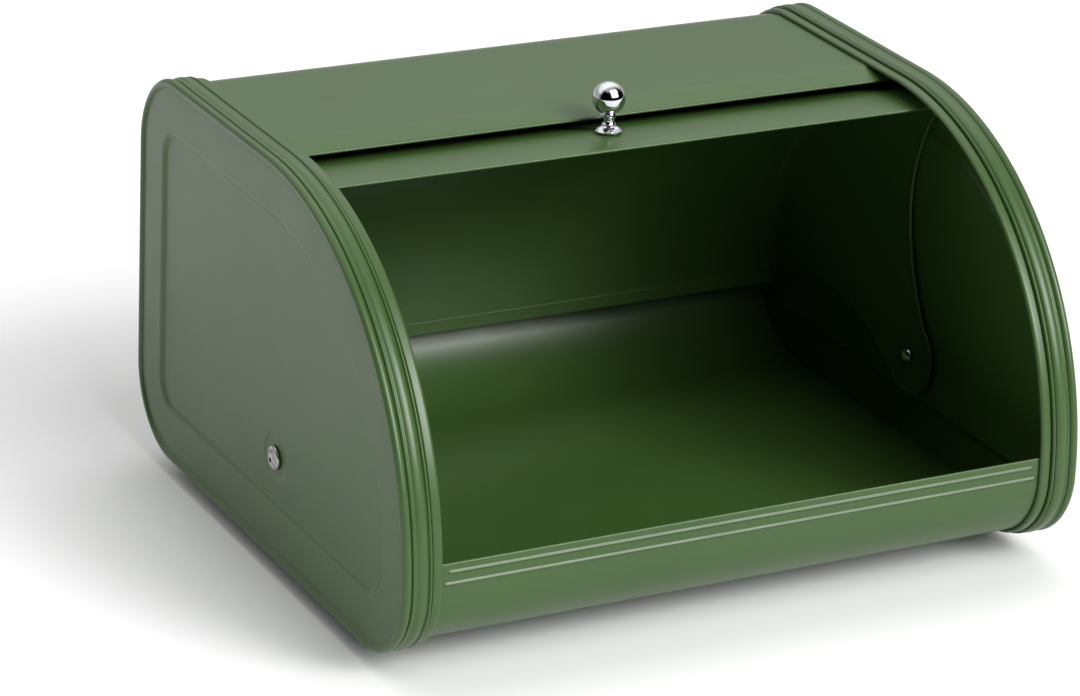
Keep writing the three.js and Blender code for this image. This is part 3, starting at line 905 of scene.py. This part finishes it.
def studio_floor():
    bm = bmesh.new()
    bmesh.ops.create_grid(bm, x_segments=2, y_segments=2, size=FLOOR_HALF_METRES)
    mesh = bpy.data.meshes.new("studio_floor")
    bm.to_mesh(mesh)
    bm.free()
    floor = bpy.data.objects.new("studio_floor", mesh)
    bpy.context.scene.collection.objects.link(floor)
    shader = Shader("studio_floor")
    shader.colour(shader.ramp(shader.noise(3.0), (0.3, FLOOR_DARK), (0.7, FLOOR_LIGHT)))
    shader.set(Roughness=0.8)
    mesh.materials.append(shader.material)


BACK_HIGH = 1.25
BACK_LOW = 0.51
OVERHEAD = 0.55
SEEN_WHITE = 1.0
SOFTBOX_EDGE = 0.07
# Azimuth, elevation, half width, half height and strength of each soft panel.
SOFTBOXES = (
    (30.0, 33.0, 10.0, 13.0, 17.0),
    (38.0, 52.0, 18.0, 10.0, 2.0),
    (5.0, 45.0, 10.0, 25.0, 3.5),
    (150.0, 34.0, 28.0, 5.0, 0.6),
)


class Sky:
    """A studio of soft white panels, drawn on the world by direction."""

    def __init__(self):
        world = bpy.data.worlds.new("studio")
        bpy.context.scene.world = world
        world.use_nodes = True
        self.tree = world.node_tree
        self.direction = self.tree.nodes.new("ShaderNodeTexCoord").outputs["Generated"]
        split = self.tree.nodes.new("ShaderNodeSeparateXYZ")
        self.tree.links.new(self.direction, split.inputs["Vector"])
        self.depth, self.height = split.outputs["Y"], split.outputs["Z"]
        self.total = 0.0

    def maths(self, operation, a, b):
        made = self.tree.nodes.new("ShaderNodeMath")
        made.operation = operation
        for socket, value in zip(made.inputs, (a, b)):
            if isinstance(value, (int, float)):
                socket.default_value = value
            else:
                self.tree.links.new(value, socket)
        return made.outputs["Value"]

    def fade(self, value, start, end):
        """Zero before start, one after end, smooth between."""
        made = self.tree.nodes.new("ShaderNodeMapRange")
        made.interpolation_type = "SMOOTHSTEP"
        made.inputs["From Min"].default_value = start
        made.inputs["From Max"].default_value = end
        self.tree.links.new(value, made.inputs["Value"])
        return made.outputs["Result"]

    def add(self, shape, strength):
        self.total = self.maths("ADD", self.total, self.maths("MULTIPLY", shape, strength))

    def along(self, axis):
        made = self.tree.nodes.new("ShaderNodeVectorMath")
        made.operation = "DOT_PRODUCT"
        made.inputs[1].default_value = axis
        self.tree.links.new(self.direction, made.inputs[0])
        return made.outputs["Value"]

    def within(self, axis, half_angle):
        """One close to the plane across the axis, zero beyond the half angle, with soft edges."""
        away = self.maths("ABSOLUTE", self.along(axis), 0.0)
        edge = math.sin(math.radians(half_angle))
        return self.maths("SUBTRACT", 1.0, self.fade(away, edge - SOFTBOX_EDGE, edge + SOFTBOX_EDGE))

    def softbox(self, azimuth, elevation, half_width, half_height, strength):
        """An upright rectangular panel; azimuth runs from the front towards the right."""
        turn, lift = math.radians(azimuth), math.radians(elevation)
        centre = Vector((math.sin(turn) * math.cos(lift), -math.cos(turn) * math.cos(lift), math.sin(lift)))
        across = Vector((math.cos(turn), math.sin(turn), 0.0))
        upright = centre.cross(across)
        shape = self.maths(
            "MULTIPLY",
            self.within(across, half_width),
            self.within(upright, half_height),
        )
        self.add(self.maths("MULTIPLY", shape, self.fade(self.along(centre), 0.0, 0.05)), strength)

    def finish(self):
        """Lights the set with the panels; the camera itself sees an even white."""
        background = self.tree.nodes["Background"]
        background.inputs["Color"].default_value = (1.0, 1.0, 1.0, 1.0)
        path = self.tree.nodes.new("ShaderNodeLightPath").outputs["Is Camera Ray"]
        lit = self.maths("MULTIPLY", self.total, self.maths("SUBTRACT", 1.0, path))
        strength = self.maths("ADD", lit, self.maths("MULTIPLY", path, SEEN_WHITE))
        self.tree.links.new(strength, background.inputs["Strength"])


def studio_light():
    sky = Sky()
    behind = sky.fade(sky.depth, -0.1, 0.4)
    above = sky.fade(sky.height, 0.35, 0.6)
    below = sky.maths("SUBTRACT", 1.0, above)
    sky.add(sky.maths("MULTIPLY", behind, above), BACK_HIGH)
    sky.add(sky.maths("MULTIPLY", behind, below), BACK_LOW)
    sky.add(sky.fade(sky.height, 0.75, 0.95), OVERHEAD)
    for softbox in SOFTBOXES:
        sky.softbox(*softbox)
    sky.finish()


CAMERA_TARGET = (-22.1, 11.9, 70.9)
CAMERA_DISTANCE = 1810.5
CAMERA_AZIMUTH = -28.54
CAMERA_ELEVATION = 22.23
CAMERA_ROLL = 2.77
CAMERA_LENS = 145.9


def studio_camera():
    azimuth, elevation, roll = (math.radians(a) for a in (CAMERA_AZIMUTH, CAMERA_ELEVATION, CAMERA_ROLL))
    back = Vector((
        math.sin(azimuth) * math.cos(elevation),
        -math.cos(azimuth) * math.cos(elevation),
        math.sin(elevation),
    ))
    right = (-back).cross(Vector((0.0, 0.0, 1.0))).normalized()
    up = right.cross(-back)
    across = math.cos(roll) * right + math.sin(roll) * up
    upward = -math.sin(roll) * right + math.cos(roll) * up
    data = bpy.data.cameras.new("camera")
    data.sensor_width = 36.0
    data.lens = CAMERA_LENS
    data.clip_end = 50.0
    camera = bpy.data.objects.new("camera", data)
    bpy.context.scene.collection.objects.link(camera)
    place = (Vector(CAMERA_TARGET) + CAMERA_DISTANCE * back) * MM
    turn = Matrix((across, upward, back)).transposed().to_4x4()
    camera.matrix_world = Matrix.Translation(place) @ turn
    bpy.context.scene.camera = camera


studio_camera()
studio_floor()
studio_light()
build_object()
bpy.context.scene.view_settings.view_transform = "Standard"
